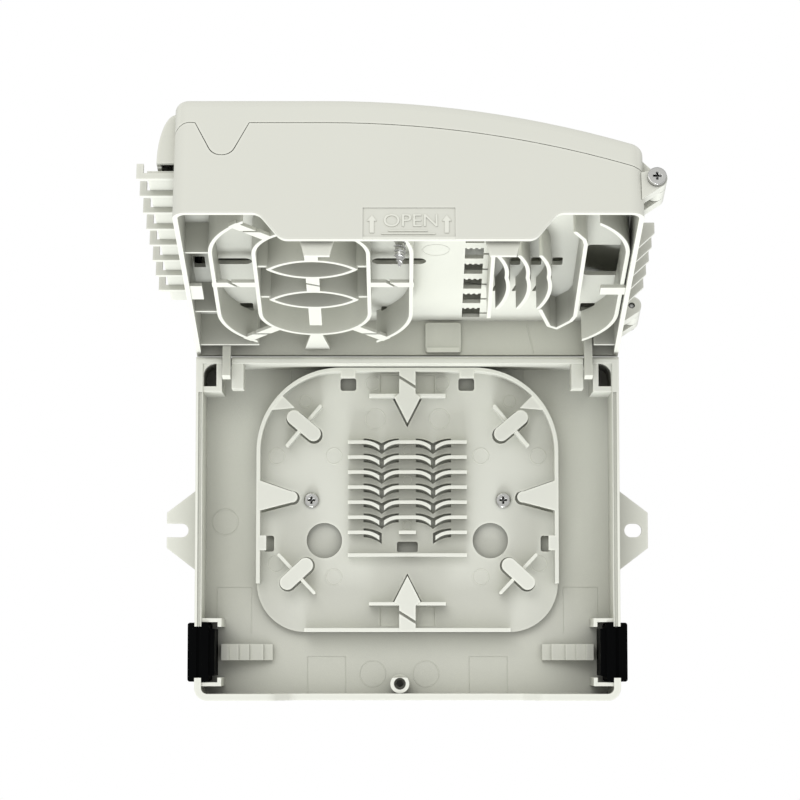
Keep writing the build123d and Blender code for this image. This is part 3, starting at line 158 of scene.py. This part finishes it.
def plastic(name, colour, rough, grain=0.012, edge=0.35, spec=0.35, painted_shade_depth=0.44, painted_highlight_strength=0.0):
    """Moulded plastic with rounded edges, painted shade in hollows and a painted highlight on thin
    edges.
    """
    m, tree, shader = new_material(name, rough)
    shader.inputs["Specular IOR Level"].default_value = spec
    coord = tree.nodes.new("ShaderNodeTexCoord")
    mottle = mapped(tree, noise(tree, coord, MOTTLE_SCALE), (0.0, 1.0), 1.0 - grain, 1.0 + grain)
    # Painted shade: colour darkened where ambient occlusion finds a hollow
    shade_occlusion = occlusion(tree, PAINTED_SHADE_REACH, PLASTIC_SAMPLES)
    shade = mapped(tree, shade_occlusion, PAINTED_SHADE_SPAN, 1.0 - painted_shade_depth, 1.0)
    # Painted highlight: colour raised on thin convex edges found by inside occlusion
    thin = occlusion(tree, PAINTED_HIGHLIGHT_REACH, PLASTIC_SAMPLES, inside=True)
    painted_highlight = mapped(tree, thin, PAINTED_HIGHLIGHT_SPAN, painted_highlight_strength, 0.0)
    factor = joined(tree, "ADD", joined(tree, "MULTIPLY", mottle, shade), painted_highlight)
    tree.links.new(tinted(tree, colour, factor), shader.inputs["Base Color"])
    bumper = tree.nodes.new("ShaderNodeBump")
    bumper.inputs["Strength"].default_value = GRAIN_STRENGTH
    bumper.inputs["Distance"].default_value = GRAIN_HEIGHT * MM
    tree.links.new(noise(tree, coord, GRAIN_SCALE), bumper.inputs["Height"])
    tree.links.new(rounded_edges(tree, edge), bumper.inputs["Normal"])
    tree.links.new(bumper.outputs["Normal"], shader.inputs["Normal"])
    return m


def metal(name, colour, rough):
    """Bright plated steel with painted shade in its recesses."""
    m, tree, shader = new_material(name, rough)
    # Painted shade: colour and metallic darkened in recesses found by ambient occlusion
    recess_occlusion = occlusion(tree, PAINTED_RECESS_SHADE_REACH, METAL_SAMPLES)
    painted_recess_shade = mapped(tree, recess_occlusion, PAINTED_RECESS_SHADE_SPAN, PAINTED_RECESS_SHADE_LOW, 1.0)
    tree.links.new(tinted(tree, colour, painted_recess_shade), shader.inputs["Base Color"])
    tree.links.new(painted_recess_shade, shader.inputs["Metallic"])
    tree.links.new(rounded_edges(tree, METAL_EDGE), shader.inputs["Normal"])
    return m


# Besides spec, the keyword numbers set the painted shade in hollows and the painted highlight on
# thin edges
shell = plastic("shell", (0.815, 0.82, 0.74), 0.45, painted_highlight_strength=0.12)
tray = plastic("tray", (0.795, 0.80, 0.725), 0.45, painted_shade_depth=0.28, painted_highlight_strength=0.22)
rubber = plastic("rubber", (0.0012, 0.0014, 0.0015), 0.6, spec=0.03, painted_shade_depth=0.0)
screw = metal("screw", (0.62, 0.62, 0.6), 0.25)
washer = plastic("washer", (0.02, 0.02, 0.02), 0.5, spec=0.2, painted_shade_depth=0.0)
grommet = plastic("grommet", (0.015, 0.015, 0.016), 0.55, spec=0.2, painted_shade_depth=0.0)

by_slot = {
    "shell": shell,
    "tray": tray,
    "rubber": rubber,
    "screw": screw,
    "washer": washer,
    "grommet": grommet,
}
for row in frame["record"]["subparts"]:
    ob = nodes[row["node"]]
    ob.data.materials.clear()
    ob.data.materials.append(by_slot[row["material_slot"]])


def mesh_object(name, bm, material, body):
    mesh = bpy.data.meshes.new(name)
    bm.to_mesh(mesh)
    bm.free()
    ob = bpy.data.objects.new(name, mesh)
    bpy.context.scene.collection.objects.link(ob)
    mesh.materials.append(material)
    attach(ob, body)
    return ob


def prism(bm, outline, place, height):
    """Closed plate with the given outline, from place(x, y, 0) to place(x, y, height)."""
    low = [bm.verts.new(place(x, y, 0)) for x, y in outline]
    high = [bm.verts.new(place(x, y, height)) for x, y in outline]
    n = len(outline)
    bm.faces.new(high)
    bm.faces.new(list(reversed(low)))
    for i in range(n):
        j = (i + 1) % n
        bm.faces.new((low[i], low[j], high[j], high[i]))


def bead(bm, path, place, wide, high, closed=False):
    """Raised line along a flat path; place(x, y, h) gives the row frame."""
    n = len(path)
    sections = []
    for i in range(n):
        a = path[i - 1] if closed or i else path[i]
        b = path[(i + 1) % n] if closed or i < n - 1 else path[i]
        along = (Vector(b) - Vector(a)).normalized()
        side = Vector((-along.y, along.x)) * wide / 2
        section = []
        for point, h in ((1, 0), (-1, 0), (-1, high), (1, high)):
            spot = Vector(path[i]) + side * point
            section.append(bm.verts.new(place(spot.x, spot.y, h)))
        sections.append(section)
    pairs = list(zip(sections[:-1], sections[1:]))
    if closed:
        pairs.append((sections[-1], sections[0]))
    else:
        bm.faces.new(sections[0])
        bm.faces.new(list(reversed(sections[-1])))
    for one, two in pairs:
        for k in range(4):
            m = (k + 1) % 4
            bm.faces.new((one[k], one[m], two[m], two[k]))


def circle(x, y, radius, steps=32):
    turns = (2 * math.pi * i / steps for i in range(steps))
    return [(x + radius * math.cos(a), y + radius * math.sin(a)) for a in turns]


def close_up(name, bm, material, body):
    bmesh.ops.recalc_face_normals(bm, faces=bm.faces)
    return mesh_object(name, bm, material, body)


# Sizes shared with the solids, in millimetres
BASE_FLOOR = 2.5
TRAY_BASE = 5.5
TRAY_FLOOR = 7.1
TRAY_TOP = 17.5
TRAY_MIDDLE = 14.3
PANEL_FLOOR = 17.5
NEAR_WALL = -81.0
HINGE_WALL = 78.8
LABEL_FLOOR = NEAR_WALL + 0.5
PORT_PITCH = 17.15
PORT_COUNT = 8
LINE_WIDE = 0.34
LINE_HIGH = 0.12


def on_base(x, y, h):
    return Vector((x, y, BASE_FLOOR + h)) * MM


def on_tray(x, y, h):
    return Vector((x, y, TRAY_FLOOR + h)) * MM


def on_tray_base(x, y, h):
    return Vector((x, y, TRAY_BASE + h)) * MM


def under_tray_top(x, y, h):
    return Vector((x, y, TRAY_TOP - TONGUE_DROP + h)) * MM


def on_panel(x, y, h):
    return swing(x, y, PANEL_FLOOR - h)


def in_window(x, y, h):
    return swing(x, y, PANEL_FLOOR + TOOTH_INSET + h)


def on_label(x, w, h):
    return swing(x, LABEL_FLOOR - h, w)


def on_hinge_wall(x, w, h):
    return swing(x, HINGE_WALL - h, w)


def rectangle(left, right, near, far):
    return ((left, near), (right, near), (right, far), (left, far))


# Mould marks on the floor of the base
BASE_CIRCLES = ((-87.6, 4.1), (-16.6, -68.6), (8.9, -68.6))
BASE_CIRCLE = 6.2
SIDE_FRAME_X = 83.0
SIDE_FRAME_HALF = 8.2
SIDE_FRAME_NEAR = -49.0
SIDE_FRAME_FAR = -27.3
NEAR_FRAME_X = 38.7
NEAR_FRAME_HALF = 9.1
NEAR_FRAME_NEAR = -77.6
NEAR_FRAME_FAR = -60.4
FAR_LINE_X = 56.4
FAR_LINE_NEAR = 56.0
FAR_LINE_FAR = 77.4


def ring(bm, x, y, radius, place, steps=32):
    bead(bm, circle(x, y, radius, steps), place, LINE_WIDE, LINE_HIGH, closed=True)


def line(bm, points, place):
    bead(bm, points, place, LINE_WIDE, LINE_HIGH)


def open_frame(bm, x, half, near, far):
    corners = ((x - half, near), (x - half, far), (x + half, far), (x + half, near))
    line(bm, corners, on_base)


def base_floor_marks():
    bm = bmesh.new()
    for x, y in BASE_CIRCLES:
        ring(bm, x, y, BASE_CIRCLE, on_base)
    for side in (-1, 1):
        open_frame(bm, side * SIDE_FRAME_X, SIDE_FRAME_HALF, SIDE_FRAME_NEAR, SIDE_FRAME_FAR)
    for side in (-1, 1):
        open_frame(bm, side * NEAR_FRAME_X, NEAR_FRAME_HALF, NEAR_FRAME_NEAR, NEAR_FRAME_FAR)
    for side in (-1, 1):
        x = side * FAR_LINE_X
        line(bm, ((x, FAR_LINE_NEAR), (x, FAR_LINE_FAR)), on_base)
    close_up("base_floor_marks", bm, shell, "base")


# Mould marks on the floor of the tray: x, y and radius on both sides, then the middle row
TRAY_CIRCLES = (
    (49.0, 62.0, 3.0),
    (16.7, 70.6, 3.3),
    (15.4, 53.5, 4.8),
    (62.7, 35.5, 3.8),
    (35.3, 35.5, 3.8),
    (62.9, -16.2, 3.8),
    (35.2, -22.5, 3.8),
)
MIDDLE_CIRCLE_ROWS = (38.4, 24.0, 2.4)
MIDDLE_CIRCLE = 2.1
MIDDLE_CIRCLE_STEPS = 20


def tray_floor_marks():
    bm = bmesh.new()
    for x, y, radius in TRAY_CIRCLES:
        for side in (-1, 1):
            ring(bm, side * x, y, radius, on_tray)
    for y in MIDDLE_CIRCLE_ROWS:
        ring(bm, 0, y, MIDDLE_CIRCLE, on_tray, MIDDLE_CIRCLE_STEPS)
    close_up("tray_floor_marks", bm, tray, "base")


# Marks of the panel: a circle on its floor, a parting line and the pad's step on the hinge wall
PANEL_CIRCLE = (12.7, -3.7, 6.0)
PARTING_LINE = ((57.0, 15.6), (59.8, 1.2))
PAD_STEP = (9.2, 24.8, 0.5, 2.9)
PAD_STEP_HIGH = 2.4


def panel_floor_marks():
    bm = bmesh.new()
    ring(bm, *PANEL_CIRCLE, on_panel)
    line(bm, PARTING_LINE, on_hinge_wall)
    prism(bm, rectangle(*PAD_STEP), on_hinge_wall, PAD_STEP_HIGH)
    close_up("panel_floor_marks", bm, shell, "panel")


# Small teeth at the near edge of each adapter window
TOOTH_PLACES = (27.2, 29.7, 32.2)
TOOTH_ROOT_HALF = 0.7
TOOTH_TIP_HALF = 0.5
TOOTH_REACH = 1.2
TOOTH_HIGH = 1.8
TOOTH_INSET = 0.05
WINDOW_EDGE = -5.85


def window_teeth():
    bm = bmesh.new()
    for k in range(-PORT_COUNT // 2, PORT_COUNT // 2 + 1):
        root_y = PORT_PITCH * k + WINDOW_EDGE
        tip_y = root_y + TOOTH_REACH
        for x in TOOTH_PLACES:
            tooth = (
                (x - TOOTH_ROOT_HALF, root_y),
                (x + TOOTH_ROOT_HALF, root_y),
                (x + TOOTH_TIP_HALF, tip_y),
                (x - TOOTH_TIP_HALF, tip_y),
            )
            prism(bm, tooth, in_window, TOOTH_HIGH)
    close_up("window_teeth", bm, shell, "panel")


# Plates of the tray: recessed floors beside the arrows and tongues at the far corners
PLATE_X = 8.8
PLATE_Y = 55.7
PLATE_HALF_X = 4.3
PLATE_HALF_Y = 4.5
PLATE_HIGH = 0.9
TONGUE = ((59.8, 63.9), (53.7, 57.9), (65.0, 57.1))
TONGUE_DROP = 1.7
TONGUE_HIGH = 1.6


def tray_plates():
    bm = bmesh.new()
    for y in (TRAY_MIDDLE + PLATE_Y, TRAY_MIDDLE - PLATE_Y):
        for x in (-PLATE_X, PLATE_X):
            plate = rectangle(x - PLATE_HALF_X, x + PLATE_HALF_X, y - PLATE_HALF_Y, y + PLATE_HALF_Y)
            prism(bm, plate, on_tray_base, PLATE_HIGH)
    for side in (-1, 1):
        prism(bm, [(side * x, y) for x, y in TONGUE], under_tray_top, TONGUE_HIGH)
    close_up("tray_plates", bm, tray, "base")


# Raised arrows and bars that say where to pull, as x and level
LABEL_HIGH = 0.38
ARROW_PLACES = (-15.4, 16.2)
ARROW_SHAFT_HALF = 0.95
ARROW_HEAD_HALF = 2.1
ARROW_FOOT = -9.2
ARROW_SHOULDER = -3.7
ARROW_TIP = -0.9
LABEL_BARS = (((-8.5, -8.2), (8.1, -8.2)), ((-11.4, -9.6), (11.4, -9.6)))
LABEL_BAR_WIDE = 0.5
LABEL_SILL = (-19.2, 19.8, -12.15, -11.0)
LABEL_SILL_HIGH = 0.5


def label_arrows():
    bm = bmesh.new()
    for x in ARROW_PLACES:
        arrow = (
            (x - ARROW_SHAFT_HALF, ARROW_FOOT),
            (x + ARROW_SHAFT_HALF, ARROW_FOOT),
            (x + ARROW_SHAFT_HALF, ARROW_SHOULDER),
            (x + ARROW_HEAD_HALF, ARROW_SHOULDER),
            (x, ARROW_TIP),
            (x - ARROW_HEAD_HALF, ARROW_SHOULDER),
            (x - ARROW_SHAFT_HALF, ARROW_SHOULDER),
        )
        prism(bm, arrow, on_label, LABEL_HIGH)
    for bar in LABEL_BARS:
        bead(bm, bar, on_label, LABEL_BAR_WIDE, LABEL_HIGH)
    prism(bm, rectangle(*LABEL_SILL), on_label, LABEL_SILL_HIGH)
    close_up("label_arrows", bm, shell, "panel")


# The raised word between the arrows
WORD = "OPEN"
WORD_LEFT = -10.4
WORD_LONG = 22.7
WORD_FOOT = -6.3
WORD_TALL = 5.8


def word_mesh():
    curve = bpy.data.curves.new("label_word", "FONT")
    curve.body = WORD
    curve.extrude = 0.5
    carrier = bpy.data.objects.new("label_word_source", curve)
    bpy.context.scene.collection.objects.link(carrier)
    bpy.context.view_layer.update()
    seen = carrier.evaluated_get(bpy.context.evaluated_depsgraph_get())
    flat = bpy.data.meshes.new_from_object(seen)
    bpy.data.objects.remove(carrier)
    return flat


def label_word():
    flat = word_mesh()
    xs = [v.co.x for v in flat.vertices]
    ys = [v.co.y for v in flat.vertices]
    bm = bmesh.new()
    bm.from_mesh(flat)
    for v in bm.verts:
        x = WORD_LEFT + WORD_LONG * (v.co.x - min(xs)) / (max(xs) - min(xs))
        w = WORD_FOOT + WORD_TALL * (v.co.y - min(ys)) / (max(ys) - min(ys))
        v.co = on_label(x, w, LABEL_HIGH if v.co.z > 0 else 0.0)
    close_up("label_word", bm, shell, "panel")


# Thread of the captive cover screw
THREAD_X = -3.6
THREAD_Y = -73.2
THREAD_PITCH = 2.2
THREAD_TOP = -4.2
THREAD_CONE = -16.3
THREAD_TIP = -21.0
THREAD_CORE = 1.9
THREAD_CORE_TIP = 0.25
THREAD_DEPTH = 0.75
THREAD_HALF = 0.45
THREAD_STEPS = 20


def thread_section(bm, i):
    w = THREAD_TOP - i * THREAD_PITCH / THREAD_STEPS
    core = THREAD_CORE
    if w <= THREAD_CONE:
        core = max(THREAD_CORE_TIP, THREAD_CORE * (w - THREAD_TIP) / (THREAD_CONE - THREAD_TIP))
    a = 2 * math.pi * i / THREAD_STEPS
    section = []
    for radius, lift in ((core, THREAD_HALF), (core + THREAD_DEPTH, 0.0), (core, -THREAD_HALF)):
        x = THREAD_X + radius * math.cos(a)
        y = THREAD_Y + radius * math.sin(a)
        section.append(bm.verts.new(swing(x, y, w + lift)))
    return section


def screw_thread():
    bm = bmesh.new()
    turns = (THREAD_TOP - THREAD_TIP) / THREAD_PITCH
    sections = [thread_section(bm, i) for i in range(int(turns * THREAD_STEPS))]
    for one, two in zip(sections[:-1], sections[1:]):
        for k in range(3):
            m = (k + 1) % 3
            bm.faces.new((one[k], one[m], two[m], two[k]))
    bm.faces.new(sections[0])
    bm.faces.new(list(reversed(sections[-1])))
    close_up("cover_screw_thread", bm, screw, "panel")


base_floor_marks()
tray_floor_marks()
panel_floor_marks()
window_teeth()
tray_plates()
label_arrows()
label_word()
screw_thread()


# Camera, fitted to the photograph, in millimetres and radians
CAMERA_PLACE = (-3.53, -57.34, 1348.55)
CAMERA_TILT = 0.0892
CAMERA_LENS = 125.83
CAMERA_SENSOR = 36.0

cam_data = bpy.data.cameras.new("camera")
cam = bpy.data.objects.new("camera", cam_data)
bpy.context.scene.collection.objects.link(cam)
cam_data.sensor_width = CAMERA_SENSOR
cam_data.lens = CAMERA_LENS
look = Vector((0, math.sin(CAMERA_TILT), -math.cos(CAMERA_TILT)))
up = Vector((0, math.cos(CAMERA_TILT), math.sin(CAMERA_TILT)))
right = look.cross(up)
turn = Matrix((right, up, -look)).transposed().to_4x4()
cam.matrix_world = Matrix.Translation(Vector(CAMERA_PLACE) * MM) @ turn
cam_data.clip_start = 0.1
cam_data.clip_end = 10.0
bpy.context.scene.camera = cam


# Lights and background
GLOW_SEEN = 1.0
GLOW_LIT = 0.68


def area(name, place, target, wide, power, colour=(1, 1, 1)):
    data = bpy.data.lights.new(name, "AREA")
    data.shape = "SQUARE"
    data.size = wide
    data.energy = power
    data.color = colour
    ob = bpy.data.objects.new(name, data)
    bpy.context.scene.collection.objects.link(ob)
    ob.location = Vector(place)
    ob.rotation_mode = "QUATERNION"
    ob.rotation_quaternion = (Vector(target) - Vector(place)).to_track_quat("-Z", "Y")
    return ob


area("top", (-0.35, 0.85, 1.6), (0, 0.05, 0.05), 0.9, 6.0, (1.0, 1.0, 0.97))
area("front", (-0.15, -1.7, 0.5), (0, 0.05, 0.08), 0.8, 24.0, (0.97, 1.0, 1.03))

world = bpy.data.worlds.new("world")
bpy.context.scene.world = world
world.use_nodes = True
wt = world.node_tree
wt.nodes.clear()
out = wt.nodes.new("ShaderNodeOutputWorld")
path = wt.nodes.new("ShaderNodeLightPath")
seen = wt.nodes.new("ShaderNodeBackground")
seen.inputs["Color"].default_value = (1, 1, 1, 1)
seen.inputs["Strength"].default_value = GLOW_SEEN
glow = wt.nodes.new("ShaderNodeBackground")
glow.inputs["Color"].default_value = (1, 1, 1, 1)
glow.inputs["Strength"].default_value = GLOW_LIT
mixer = wt.nodes.new("ShaderNodeMixShader")
wt.links.new(path.outputs["Is Camera Ray"], mixer.inputs["Fac"])
wt.links.new(glow.outputs["Background"], mixer.inputs[1])
wt.links.new(seen.outputs["Background"], mixer.inputs[2])
wt.links.new(mixer.outputs["Shader"], out.inputs["Surface"])

bpy.context.scene.view_settings.view_transform = "Standard"
bpy.context.scene.view_settings.look = "None"
bpy.context.scene.view_settings.exposure = 0.0
bpy.context.scene.view_settings.gamma = 1.0
